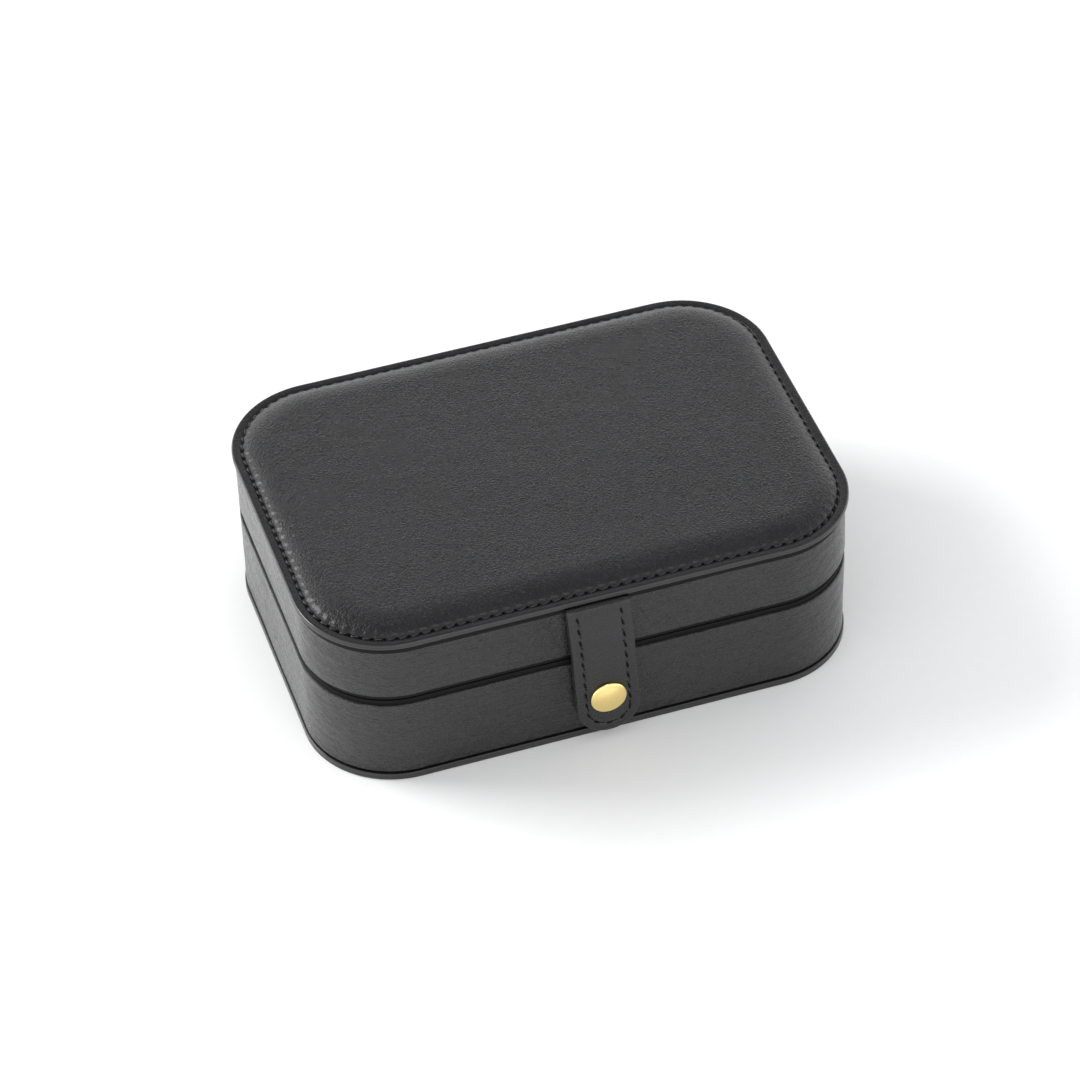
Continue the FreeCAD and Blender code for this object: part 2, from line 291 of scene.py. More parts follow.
def closeStart(piece, start, facing, edge, steps=3):
    # one face over the open start, drawn in a little further as a round edge
    near = 0.001 * mm
    selectParts(piece, "edges", lambda line: line.is_boundary and abs(line.verts[0].co.z - start) < near)
    bpy.ops.mesh.edge_face_add()
    bpy.ops.mesh.select_all(action="SELECT")
    bpy.ops.mesh.normals_make_consistent(inside=False)
    selectParts(piece, "faces",
                lambda face: face.normal.z * facing < -0.9 and abs(faceCentre(face).z - start) < near)
    drawRings(arcSteps(edge, edge, steps))


def movePoints(piece, move):
    # move gets each point's place and normal, and gives how far it goes
    mesh = piece.data
    normals = [vertex.normal.copy() for vertex in mesh.vertices]
    for vertex, normal in zip(mesh.vertices, normals):
        vertex.co += move(vertex.co.copy(), normal)
    mesh.update()


def keepInside(piece, low, high):
    # brings stray points back into a box
    movePoints(piece, lambda p, n: Vector([min(max(p[i], low[i]), high[i]) for i in range(3)]) - p)


def ripple(piece, amount, size, stretch=(1, 1, 1), where=None, seed=0.0):
    # an uneven surface: every point moves along its normal by smooth noise
    def move(place, normal):
        share = where(place) if where else 1.0
        spot = Vector([place[i] / (size * stretch[i]) + seed for i in range(3)])
        return normal * (amount * share * noise.noise(spot))

    movePoints(piece, move)


# materials

def startMaterial(name, settings):
    material = bpy.data.materials.new(name)
    material.use_nodes = True
    tree = material.node_tree
    shader = tree.nodes["Principled BSDF"]
    for socket, value in settings.items():
        shader.inputs[socket].default_value = value
    coordinates = tree.nodes.new("ShaderNodeTexCoord")
    return material, tree, shader, coordinates.outputs["Object"]


def addNode(tree, kind, values=None, **attributes):
    node = tree.nodes.new(kind)
    for key, value in attributes.items():
        setattr(node, key, value)
    for socket, value in (values or {}).items():
        if hasattr(value, "is_output"):
            tree.links.new(value, node.inputs[socket])
        else:
            node.inputs[socket].default_value = value
    return node


def addNoise(tree, coordinates, scale, detail=4.0, stretch=None, roughness=0.55):
    if stretch:
        coordinates = addNode(tree, "ShaderNodeMapping", {"Vector": coordinates, "Scale": stretch}).outputs[0]
    values = {"Vector": coordinates, "Scale": scale, "Detail": detail, "Roughness": roughness}
    return addNode(tree, "ShaderNodeTexNoise", values).outputs["Fac"]


def addRange(tree, value, low, high, fromLow=0.3, fromHigh=0.7):
    values = {"Value": value, "From Min": fromLow, "From Max": fromHigh, "To Min": low, "To Max": high}
    return addNode(tree, "ShaderNodeMapRange", values).outputs[0]


def addMath(tree, first, second, operation):
    return addNode(tree, "ShaderNodeMath", {0: first, 1: second}, operation=operation).outputs[0]


def addColours(tree, value, dark, light):
    mix = addNode(tree, "ShaderNodeMix", data_type="RGBA")
    tree.links.new(value, mix.inputs["Factor"])
    mix.inputs[6].default_value = (*dark, 1)
    mix.inputs[7].default_value = (*light, 1)
    return mix.outputs[2]


def addBump(tree, height, distance, strength, below=None):
    values = {"Height": height, "Distance": distance, "Strength": strength}
    if below:
        values["Normal"] = below
    return addNode(tree, "ShaderNodeBump", values).outputs[0]


leatherLook = {
    "dark": (0.0045, 0.0045, 0.0054), "light": (0.008, 0.008, 0.0094),
    "roughLow": 0.23, "roughHigh": 0.36, "coat": 0.36, "coatRough": 0.2, "ior": 1.43,
    "blotchScale": 42, "grainScale": 2300, "grain": 0.00024, "grainWarp": 0.0005, "poreScale": 5000,
    "softScale": 120, "soft": 0.0005, "creaseScale": 60, "creaseStretch": (1, 1, 6), "crease": 0.002,
    "wrinkleScale": 260, "wrinkleStretch": (1, 1, 1.8), "wrinkle": 0.0018,
}


def leather(name, creases=0.0, grain=1.0, rough=0.0, gloss=1.0):
    look = leatherLook
    material, tree, shader, place = startMaterial(name, {
        "IOR": look["ior"], "Coat Weight": look["coat"] * gloss, "Coat Roughness": look["coatRough"] + rough,
        "Specular IOR Level": 0.5 * gloss})
    blotches = addNoise(tree, place, look["blotchScale"], 5)
    fine = addNoise(tree, place, look["grainScale"] / 4, 6)
    mixed = addMath(tree, blotches, fine, "ADD")
    tree.links.new(addColours(tree, addRange(tree, mixed, 0, 1, 0.78, 1.22), look["dark"], look["light"]),
                   shader.inputs["Base Color"])
    tree.links.new(addRange(tree, mixed, look["roughLow"] + rough, look["roughHigh"] + rough, 0.75, 1.25),
                   shader.inputs["Roughness"])
    # pebbled grain, then pores, then soft unevenness and creases
    warp = addNode(tree, "ShaderNodeTexNoise", {"Vector": place, "Scale": look["grainScale"] / 2})
    shift = addNode(tree, "ShaderNodeVectorMath", {0: warp.outputs["Color"], 1: (look["grainWarp"],) * 3},
                    operation="MULTIPLY")
    warped = addNode(tree, "ShaderNodeVectorMath", {0: place, 1: shift.outputs[0]}, operation="ADD")
    pebble = addNode(tree, "ShaderNodeTexVoronoi", {"Vector": warped.outputs[0], "Scale": look["grainScale"]},
                     feature="SMOOTH_F1")
    bump = addBump(tree, pebble.outputs["Distance"], look["grain"] * grain, 1.0)
    bump = addBump(tree, addNoise(tree, place, look["poreScale"], 3), look["grain"] * grain / 3, 0.6, bump)
    bump = addBump(tree, addNoise(tree, place, look["softScale"], 4, None, 0.5), look["soft"], 0.4, bump)
    if creases:
        lines = addNoise(tree, place, look["creaseScale"], 5, look["creaseStretch"], 0.62)
        bump = addBump(tree, lines, look["crease"], creases, bump)
        wrinkles = addNoise(tree, place, look["wrinkleScale"], 5, look["wrinkleStretch"], 0.7)
        bump = addBump(tree, wrinkles, look["wrinkle"], creases, bump)
    tree.links.new(bump, shader.inputs["Normal"])
    return material


# black edge paint for cut edges; with its gloss turned off it also serves as painted shade in seams and
# stitch holes
def edgePaintAndShade(name, gloss=0.7, specular=0.3):
    material, tree, shader, place = startMaterial(name, {
        "IOR": 1.5, "Coat Weight": gloss, "Coat Roughness": 0.16, "Specular IOR Level": specular})
    grain = addNoise(tree, place, 900, 4)
    tree.links.new(addColours(tree, grain, (0.003, 0.003, 0.0033), (0.008, 0.008, 0.0085)),
                   shader.inputs["Base Color"])
    tree.links.new(addRange(tree, grain, 0.35, 0.55), shader.inputs["Roughness"])
    tree.links.new(addBump(tree, grain, 0.00006, 0.4), shader.inputs["Normal"])
    return material


def waxedThread(name, specular=0.6, dark=(0.006, 0.006, 0.0065), light=(0.026, 0.026, 0.028)):
    material, tree, shader, place = startMaterial(name, {"IOR": 1.5, "Specular IOR Level": specular})
    twist = addNode(tree, "ShaderNodeTexWave", {"Vector": place, "Scale": 900.0, "Distortion": 1.5},
                    bands_direction="DIAGONAL")
    tree.links.new(addColours(tree, twist.outputs["Fac"], dark, light), shader.inputs["Base Color"])
    tree.links.new(addRange(tree, addNoise(tree, place, 2500), 0.3, 0.5), shader.inputs["Roughness"])
    tree.links.new(addBump(tree, twist.outputs["Fac"], 0.00008, 0.6), shader.inputs["Normal"])
    return material


def suede(name, dark, light):
    material, tree, shader, place = startMaterial(name, {
        "IOR": 1.4, "Sheen Weight": 0.35, "Sheen Roughness": 0.45, "Specular IOR Level": 0.25})
    shader.inputs["Sheen Tint"].default_value = (*light, 1)
    brushed = addNoise(tree, place, 55, 5)
    nap = addNoise(tree, place, 2600, 4)
    both = addMath(tree, brushed, nap, "ADD")
    mixed = addRange(tree, both, 0, 1, 0.72, 1.28)
    tree.links.new(addColours(tree, mixed, dark, light), shader.inputs["Base Color"])
    tree.links.new(addRange(tree, nap, 0.8, 0.95), shader.inputs["Roughness"])
    bump = addBump(tree, nap, 0.00016, 0.6)
    tree.links.new(addBump(tree, brushed, 0.0006, 0.25, bump), shader.inputs["Normal"])
    return material


def polishedBrass(name):
    material, tree, shader, place = startMaterial(name, {"Metallic": 1.0})
    haze = addNoise(tree, place, 260, 5)
    tree.links.new(addColours(tree, haze, (0.97, 0.74, 0.27), (1.0, 0.8, 0.36)), shader.inputs["Base Color"])
    tree.links.new(addRange(tree, haze, 0.1, 0.17), shader.inputs["Roughness"])
    rubbed = addNoise(tree, place, 1200, 3, (1, 1, 6))
    tree.links.new(addBump(tree, rubbed, 0.00001, 0.25), shader.inputs["Normal"])
    return material


def greyBoard(name):
    material, tree, shader, place = startMaterial(name, {"IOR": 1.45, "Specular IOR Level": 0.2})
    fibre = addNoise(tree, place, 700, 6, (1, 1, 3))
    tree.links.new(addColours(tree, fibre, (0.16, 0.14, 0.12), (0.27, 0.25, 0.22)),
                   shader.inputs["Base Color"])
    tree.links.new(addRange(tree, fibre, 0.8, 0.95), shader.inputs["Roughness"])
    tree.links.new(addBump(tree, fibre, 0.00012, 0.5), shader.inputs["Normal"])
    return material


def mirrorGlass(name):
    material, tree, shader, place = startMaterial(name, {"Metallic": 1.0})
    film = addNoise(tree, place, 35, 5)
    tree.links.new(addColours(tree, film, (0.86, 0.88, 0.88), (0.93, 0.94, 0.94)),
                   shader.inputs["Base Color"])
    tree.links.new(addRange(tree, film, 0.01, 0.035), shader.inputs["Roughness"])
    return material


padLeather = leather("padLeather", rough=-0.02, gloss=0.6)
flangeLeather = leather("flangeLeather", grain=0.5, gloss=0.5)
wallLeather = leather("wallLeather", creases=1.0, grain=1.2, rough=-0.02, gloss=1.06)
strapLeather = leather("strapLeather", grain=0.8, rough=0.02, gloss=0.9)
soleLeather = leather("soleLeather", rough=0.1)
edgeBlack = edgePaintAndShade("edgeBlack")
# matte near black for the wall seams and wall ends: partly black edge paint, partly painted shade
seamPaintAndShade = edgePaintAndShade("seamPaintAndShade", 0.0, 0.1)
# matte black blobs at the stitch holes: painted shade
holeShade = edgePaintAndShade("holeShade", 0.0, 0.02)
blackThread = waxedThread("blackThread")
dullThread = waxedThread("dullThread", 0.08, (0.0015, 0.0015, 0.0016), (0.004, 0.004, 0.0042))
liningSuede = suede("liningSuede", (0.13, 0.115, 0.105), (0.2, 0.18, 0.165))
rollSuede = suede("rollSuede", (0.15, 0.135, 0.122), (0.225, 0.203, 0.187))
brass = polishedBrass("brass")
board = greyBoard("board")
mirror = mirrorGlass("mirror")
print("materials made")


# stitches: one is modelled, and each line of them is copies of it

stitch = {"height": 0.46 * mm, "slant": 15, "dive": 0.3,
          "hole": 0.46 * mm, "holeAt": 0.62, "holeSink": 0.05 * mm, "holeShape": (1.25, 0.75, 0.36)}


def modelStitch(length, width, thread):
    # a thread that dives at both ends, and a matte black blob of painted shade in the hole that it comes out
    # of
    deselectAll()
    bpy.ops.mesh.primitive_uv_sphere_add(segments=8, ring_count=6, radius=0.5, rotation=(0, math.pi / 2, 0))
    one = bpy.context.object
    bpy.ops.object.transform_apply(location=False, rotation=True, scale=False)
    one.scale = (length, width, stitch["height"])
    bpy.ops.object.transform_apply(location=True, rotation=True, scale=True)
    editPiece(one)
    selectParts(one, "verts", lambda vert: abs(vert.co.x) > stitch["dive"] * length)
    bpy.ops.transform.translate(value=(0, 0, -stitch["dive"] * stitch["height"]))
    bpy.ops.object.mode_set(mode="OBJECT")
    bpy.ops.object.shade_smooth()
    dress(one, thread)
    deselectAll()
    # the hole's blob is painted shade, black and without gloss
    bpy.ops.mesh.primitive_uv_sphere_add(segments=6, ring_count=4, radius=stitch["hole"],
                                         location=(stitch["holeAt"] * length, 0, -stitch["holeSink"]))
    hole = bpy.context.object
    hole.scale = stitch["holeShape"]
    bpy.ops.object.transform_apply(location=True, rotation=True, scale=True)
    bpy.ops.object.shade_smooth()
    dress(hole, holeShade)
    return join("stitch", [one, hole])


def sewLine(name, places, length, width, thread):
    # places are matrices, one for each stitch
    one = modelStitch(length, width, thread)
    row = []
    for place in places:
        copy = one.copy()
        copy.data = one.data.copy()
        bpy.context.collection.objects.link(copy)
        copy.data.transform(place)
        row.append(copy)
    bpy.data.objects.remove(one)
    return join(name, row)


def stitchPlace(place, along, up):
    # matrix of a stitch that lies along one direction with its top towards another
    along = along.normalized()
    side = up.cross(along).normalized()
    up = along.cross(side)
    slanted = Matrix.Rotation(math.radians(stitch["slant"]), 4, "Z")
    turn = Matrix((along, side, up)).transposed().to_4x4()
    return Matrix.Translation(place) @ turn @ slanted


# top panel: stitched flange and padded crown in one leather sheet

topPanel = {
    "edgeRound": 0.56 * mm, "underRound": 0.14 * mm, "cupped": 0.16 * mm,
    "stitchInset": 2.75 * mm, "grooveWidth": 1.0 * mm, "grooveDepth": 0.34 * mm,
    "crownRun": 8.6 * mm, "crownSteps": 18, "crownStart": 4, "middleRing": 1.3 * mm, "middleRings": 5,
    "pitch": 3.2 * mm, "stitchLength": 2.3 * mm, "threadWidth": 0.5 * mm, "threadSunk": 0.32 * mm,
    "tooth": 0.42 * mm, "toothReach": 1.6 * mm, "pucker": 0.13 * mm, "puckerReach": 2.6 * mm,
    "swell": 0.16 * mm, "sag": 0.12 * mm, "slack": 0.1 * mm, "slackReach": 15 * mm, "flangeWave": 0.03 * mm,
    "spacing": 0.64 * mm, "cornerSteps": 60, "middle": 3.5 * mm,
}
sheet = {"spacing": 2.4 * mm, "cornerSteps": 28, "edgeRound": 0.24 * mm, "innerRing": 1.5 * mm}
flangeTop = 2 * panelHigh.z - panelLow.z


def roundedSheet(name, node):
    # flat sheet in the case's outline with softly rounded edges
    low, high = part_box(node)
    edge = sheet["edgeRound"]
    inset = (caseLength - (high.x - low.x)) / 2
    piece = startOutline(name, inset, low.z + edge, 1, sheet["spacing"], sheet["cornerSteps"])
    drawUp(1, high.z - low.z - 2 * edge, 1)
    drawRings(arcSteps(edge, edge, 3))
    drawRings([(sheet["innerRing"], 0)])
    closeStart(piece, low.z + edge, 1, edge)
    bpy.ops.object.mode_set(mode="OBJECT")
    closeNormals(piece)
    smoothPiece(piece, 70)
    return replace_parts(piece, node)


def topPanelLeather():
    d = topPanel
    low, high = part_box("top_panel_leather")
    edge = d["edgeRound"]
    half = d["grooveWidth"] / 2
    under = d["underRound"]
    piece = startOutline("topPanelLeather", 0, low.z + under, 1, d["spacing"], d["cornerSteps"])
    drawUp(1, flangeTop - low.z - edge - under, 1)
    drawRings(arcSteps(edge, edge, 5))
    flat = d["stitchInset"] - half - edge
    drawRings([(flat / 3, -d["cupped"] / 3)] * 3)
    drawRings([(half / 2, d["grooveDepth"] * share) for share in (-0.7, -0.3, 0.1)])
    depth = d["grooveDepth"] * 0.9 + d["cupped"]
    rise = (high.z - flangeTop + depth) / (1 - math.sin(math.radians(d["crownStart"])))
    drawRings(arcSteps(d["crownRun"], rise, d["crownSteps"], d["crownStart"]))
    drawRings([(d["middleRing"], 0.0)] * d["middleRings"])
    cutMiddle(piece, 1, d["middle"])
    closeStart(piece, low.z + under, 1, under)
    bpy.ops.object.mode_set(mode="OBJECT")
    closeNormals(piece)
    return piece


def outlineInset(x, y):
    # how far a place is in from the case's edge, and which way is out
    flatX, flatY = outlineLegs(0)[:2]
    cornerX, cornerY = max(abs(x) - flatX, 0), max(abs(y) - flatY, 0)
    if cornerX and cornerY:
        inset = caseRadius - math.hypot(cornerX, cornerY)
        out = Vector((math.copysign(cornerX, x), math.copysign(cornerY, y), 0)).normalized()
    elif caseLength / 2 - abs(x) < caseDepth / 2 - abs(y):
        inset, out = caseLength / 2 - abs(x), Vector((math.copysign(1, x), 0, 0))
    else:
        inset, out = caseDepth / 2 - abs(y), Vector((0, math.copysign(1, y), 0))
    return inset, out


def padShape(piece):
    # teeth where the stitches pull the edge, small puckers and a slack foam swell
    d = topPanel
    count = round(outlineTotal(d["stitchInset"]) / d["pitch"])
    pitch = outlineTotal(d["stitchInset"]) / count

    def move(place, normal):
        x, y, z = place
        if z < flangeTop - 0.5 * mm:
            return Vector()
        inset, out = outlineInset(x, y)
        beyond = inset - d["stitchInset"]
        walked = outlineWalked(x, y, d["stitchInset"])
        uneven = 0.75 + 0.7 * noise.noise(Vector((walked / (7 * mm), 3.1, 0)))
        along = walked / pitch % 1
        tooth = 1 - 2 * abs(along - 0.5)
        shift = Vector()
        if beyond > 0:
            near = max(0.0, 1 - beyond / d["toothReach"])
            shift += out * (d["tooth"] * uneven * (tooth - 0.35) * near)
            reach = math.sin(math.pi * min(1, beyond / d["puckerReach"]) ** 0.6)
            shift += normal * (d["pucker"] * uneven * reach * (tooth - 0.5) * 2)
            broad = noise.noise(Vector((x / 0.036, y / 0.03, 7.7)))
            middling = noise.noise(Vector((x / 0.012, y / 0.014, 2.2)))
            shift.z += min(1, beyond / (6 * mm)) * (d["swell"] * broad - d["sag"])
            edgeShare = max(0.0, 1 - beyond / d["slackReach"]) * min(1, beyond / (3 * mm))
            shift.z += d["slack"] * middling * edgeShare
        else:
            shift.z += d["flangeWave"] * noise.noise(Vector((walked / (5 * mm), inset / (2 * mm), 1.3)))
        return shift

    movePoints(piece, move)
    return pitch, count


def sewTopPanel(pitch, count):
    d = topPanel
    places = []
    for number in range(count):
        place, heading = outlinePoint((number + 0.5) * pitch, d["stitchInset"])
        place.z = flangeTop - d["threadSunk"]
        along = Vector((math.cos(heading), math.sin(heading), 0))
        places.append(stitchPlace(place, along, Vector((0, 0, 1))))
    return sewLine("topPanelStitches", places, d["stitchLength"], d["threadWidth"], blackThread)


padTop = topPanelLeather()
stitchPitch, stitchCount = padShape(padTop)
smoothPiece(padTop, 75)
dress(padTop, padLeather, edgeBlack, lambda centre, normal: normal.z < 0.94 and centre.z < flangeTop
      and outlineInset(centre.x, centre.y)[0] < topPanel["edgeRound"])
flangeReach = topPanel["stitchInset"] + topPanel["grooveWidth"] / 2
padTop.data.materials.append(flangeLeather)
for face in padTop.data.polygons:
    inset = outlineInset(face.center.x, face.center.y)[0]
    if face.material_index == 0 and inset < flangeReach and face.normal.z > 0:
        face.material_index = 2
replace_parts(padTop, "top_panel_leather", "top_pad_foam")
settle(padTop, "lid")
settle(sewTopPanel(stitchPitch, stitchCount), "lid")

for name, node, body, material in (("topPanelBacking", "top_panel_backing", "lid", edgeBlack),
                                   ("bottomPanelBoard", "bottom_panel_board", "base", edgeBlack),
                                   ("bottomPanelSole", "bottom_panel_sole", "base", soleLeather)):
    panel = roundedSheet(name, node)
    dress(panel, material, edgeBlack, lambda centre, normal: abs(normal.z) < 0.6)
    settle(panel, body)
print("panels made")


# walls: outer leather, stepped in at the seam so that the lid's edge throws a dark line, deepened with
# painted shade

wall = {
    "thickness": 0.3 * mm, "edgeRound": 0.34 * mm, "startRound": 0.7 * mm,
    "stepHeight": 1.45 * mm, "stepIn": 0.62 * mm, "ledgeRise": 0.22 * mm, "rimRound": 0.3 * mm,
    "turnIn": 3.85 * mm, "spacing": 1.2 * mm, "cornerSteps": 34,
    # lidShadeBand: how far the painted shade reaches down from the lid wall's top, under the top panel
    "rowHeight": 0.6 * mm, "lidShadeBand": 1.75 * mm,
    "swell": 0.22 * mm, "swellSize": 14 * mm, "crease": 0.08 * mm, "creaseSize": 3.4 * mm,
}


def wallSkin(name, node, facing, seed):
    # facing 1 has its rim at the top, -1 at the bottom
    d = wall
    low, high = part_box(node)
    start = low.z if facing > 0 else high.z
    height = high.z - low.z
    edge, begin = d["edgeRound"], d["startRound"]
    piece = startOutline(name, wallInset, start + facing * begin, facing, d["spacing"], d["cornerSteps"])
    straight = height - begin - d["stepHeight"] - edge
    drawUp(facing, straight, round(straight / d["rowHeight"]))
    drawRings(arcSteps(edge, edge, 4))
    ledge = d["ledgeRise"] * (1 if facing > 0 else 0.2)
    drawRings([(d["stepIn"] - edge, ledge)])
    drawUp(facing, d["stepHeight"] - ledge - d["rimRound"], 2)
    drawRings(arcSteps(d["rimRound"], d["rimRound"], 3))
    drawRings([(d["turnIn"] - d["stepIn"] - d["rimRound"], 0)])
    bpy.ops.mesh.delete(type="FACE")
    closeStart(piece, start + facing * begin, facing, begin, 4)
    bpy.ops.mesh.delete(type="FACE")
    bpy.ops.object.mode_set(mode="OBJECT")
    closeNormals(piece)
    edgeLevel = start + facing * (begin + straight)

    def onWall(place):
        # full strength on the wall, fading towards both ends
        if (place.z - edgeLevel) * facing > 0:
            return 0.0
        return min(1, abs(place.z - edgeLevel) / (2.5 * mm)) * min(1, abs(place.z - start) / (2 * mm))

    ripple(piece, d["swell"], d["swellSize"], (1.5, 1.5, 1), onWall, seed)
    ripple(piece, d["crease"], d["creaseSize"], (3, 3, 0.8), onWall, seed + 5)
    applyModifier(piece, "SOLIDIFY", "thickness",
                  {"thickness": d["thickness"], "offset": -1, "use_even_offset": True})
    smoothPiece(piece, 50)
    # near black past the edge: partly black edge paint, partly painted shade in the seam groove; the band
    # where the wall goes in under its panel is painted shade
    tucked = begin * 0.6 if facing > 0 else d["lidShadeBand"]
    dress(piece, wallLeather, seamPaintAndShade, lambda centre, normal:
          (centre.z - edgeLevel) * facing > edge * 1.2 or abs(centre.z - start) < tucked)
    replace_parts(piece, node)
    return piece


settle(wallSkin("lidWallLeather", "lid_wall_leather", -1, 3.3), "lid")
settle(wallSkin("baseWallLeather", "base_wall_leather", 1, 8.1), "base")
print("walls made")


# strap: two layers of leather, sewn round their edge, folded over at the top and leaned a little

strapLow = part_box("strap_outer_leather")[0]
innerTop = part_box("strap_inner_leather")[1].z
strapJoint = Vector(frame["joints"][1]["pos_m"])
capLow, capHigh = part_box("snap_cap")
snapHeight = (capLow.z + capHigh.z) / 2
strap = {
    "width": 17.3 * mm, "outerThickness": 1.3 * mm, "innerThickness": 0.9 * mm, "lean": math.radians(3),
    "edgeRound": 0.3 * mm, "kick": 1.3 * mm, "kickHeight": 14 * mm, "tipSteps": 18, "spacing": 1.0 * mm,
    "foldRadius": 1.1 * mm, "foldThickness": 1.0 * mm, "tucked": 1.2 * mm, "middleSwell": 0.12 * mm,
    "unevenness": 0.12 * mm, "stitchInset": 2.65 * mm, "groove": 0.3 * mm, "grooveReach": 0.6 * mm,
    "pitch": 3.85 * mm, "stitchLength": 2.7 * mm, "threadWidth": 0.66 * mm,
}
strapFace = strapLow.y


def strapPlace(across, along, depth):
    # from the flat strap to where it hangs: across it, up along it, and in from its face
    d = strap
    low = strapJoint.z - d["kickHeight"]
    share = min(1.0, max(0.0, (along - low) / d["kickHeight"]))
    y = strapFace + d["kick"] * share * share * (3 - 2 * share) + depth
    z = along
    if along > strapJoint.z:
        beyond = along - strapJoint.z
        radius = d["foldRadius"] - min(depth, d["foldThickness"]) * 0.98
        turn = min(beyond / d["foldRadius"], math.pi / 2)
        y = strapJoint.y - radius * math.cos(turn) + max(0.0, beyond - d["foldRadius"] * math.pi / 2)
        z = strapJoint.z + radius * math.sin(turn)
    x = across - (min(along, strapJoint.z) - snapHeight) * math.tan(d["lean"])
    return Vector((x, y, z))


def strapSheet(name, near, far, top):
    d = strap
    edge = min(d["edgeRound"], (far - near) / 3)
    tip = strapLow.z
    half = d["width"] / 2
    middle = (tip + top) / 2
    piece = startPrimitive(name, bpy.ops.mesh.primitive_plane_add, (0, middle, 0), (d["width"], top - tip, 1))
    selectParts(piece, "verts", lambda vert: vert.co.y < middle)
    bpy.ops.mesh.bevel(offset=half * 0.999, affect="VERTICES", segments=d["tipSteps"], profile=0.5)
    bpy.ops.mesh.select_all(action="SELECT")
    bpy.ops.mesh.remove_doubles(threshold=0.1 * mm)
    bpy.ops.mesh.select_all(action="SELECT")
    drawUp(1, far - near - 2 * edge, 1)
    drawRings(arcSteps(edge, edge, 4))
    drawRings([(d["stitchInset"] - edge - 0.5 * mm, 0)] + [(0.25 * mm, 0)] * 4 + [(1 * mm, 0)])
    closeStart(piece, 0, 1, edge)
    sliceAcross(1, [tip + number * d["spacing"] for number in range(1, round((top - tip) / d["spacing"]))])
    bpy.ops.object.mode_set(mode="OBJECT")
    closeNormals(piece)
    dress(piece, strapLeather, edgeBlack, lambda centre, normal: abs(normal.z) < 0.55)

    def hang(place, normal):
        # the sheet's top side is its face
        depth = far - edge - place.z
        sunk = 0.0
        inset = half - (math.hypot(place.x, place.y - tip - half) if place.y <= tip + half else abs(place.x))
        if near == 0 and place.z > far - near - edge - 0.05 * mm and place.y < strapJoint.z - 0.5 * mm:
            sunk = d["groove"] * max(0.0, 1 - abs(inset - d["stitchInset"]) / d["grooveReach"])
            sunk -= d["middleSwell"] * min(1, max(0, inset - 3.2 * mm) / (2 * mm))
        uneven = d["unevenness"] * noise.noise(Vector((place.x / 0.009, place.y / 0.013, near * 900)))
        # flat at the stitches and at the root
        uneven *= min(1, abs(inset - d["stitchInset"]) / (1.2 * mm)) if place.y < strapJoint.z - 1 * mm else 0
        return strapPlace(place.x, place.y, depth + sunk + uneven) - place

    movePoints(piece, hang)
    closeNormals(piece)
    smoothPiece(piece, 60)
    return piece


def sewStrap():
    d = strap
    half = d["width"] / 2
    tipCentre = strapLow.z + half
    radius = half - d["stitchInset"]
    top = strapJoint.z - 0.5 * mm
    side = top - tipCentre
    total = 2 * side + math.pi * radius
    count = round(total / d["pitch"])
    places = []

    def spot(walked):
        if walked < side:
            return -radius, top - walked
        if walked > side + math.pi * radius:
            return radius, tipCentre + walked - side - math.pi * radius
        turn = (walked - side) / radius
        return -radius * math.cos(turn), tipCentre - radius * math.sin(turn)

    sunk = d["groove"] * 0.6
    ahead = 0.2 * mm
    for number in range(count):
        walked = (number + 0.5) * total / count
        across, along = spot(walked)
        nextAcross, nextAlong = spot(walked + ahead)
        here = strapPlace(across, along, sunk)
        beside = strapPlace(nextAcross, nextAlong, sunk)
        right = strapPlace(across + ahead, along, sunk) - here
        up = strapPlace(across, along + ahead, sunk) - here
        places.append(stitchPlace(here, beside - here, right.cross(up).normalized()))
    return sewLine("strapStitches", places, d["stitchLength"], d["threadWidth"], dullThread)


outerTop = strapJoint.z + strap["foldRadius"] * math.pi / 2 + strap["tucked"]
strapBack = strap["outerThickness"] + strap["innerThickness"]
strapParts = [strapSheet("strapOuterLeather", 0.0, strap["outerThickness"], outerTop),
              strapSheet("strapInnerLeather", strap["outerThickness"], strapBack, innerTop), sewStrap()]
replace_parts(strapParts[0], "strap_outer_leather")
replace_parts(strapParts[1], "strap_inner_leather")
for part in strapParts:
    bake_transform(part)


# snap cap: a low turned dome with a rolled rim

cap = {"radius": 5.0 * mm, "sides": 64, "edgeRound": 0.3 * mm}
# how far in and how far out each of its rings goes, in millimetres
capRings = [(0.01, 0.2), (0.06, 0.16), (0.18, 0.16), (0.34, 0.1), (0.3, 0.06), (0.6, 0.2), (0.8, 0.2),
            (0.9, 0.16), (0.9, 0.09), (0.6, 0.03)]


def turnedCap():
    deselectAll()
    bpy.ops.mesh.primitive_circle_add(vertices=cap["sides"], radius=cap["radius"], fill_type="NGON")
    piece = bpy.context.object
    piece.name = "snapCap"
    editPiece(piece)
    bpy.ops.mesh.select_all(action="SELECT")
    drawRings([(inward * mm, rise * mm) for inward, rise in capRings])
    bpy.ops.mesh.poke()
    closeStart(piece, 0, 1, cap["edgeRound"])
    bpy.ops.object.mode_set(mode="OBJECT")
    piece.rotation_euler = (math.pi / 2, 0, 0)
    piece.location = (0, strapFace - cap["edgeRound"], snapHeight)
    bpy.ops.object.transform_apply(location=True, rotation=True, scale=True)
    closeNormals(piece)
    smoothPiece(piece, 60)
    dress(piece, brass)
    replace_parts(piece, "snap_cap")
    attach(piece, "strap")


turnedCap()
print("strap and snap made")


# back: leather spine over the seam, sewn along both edges, and the suede strip inside

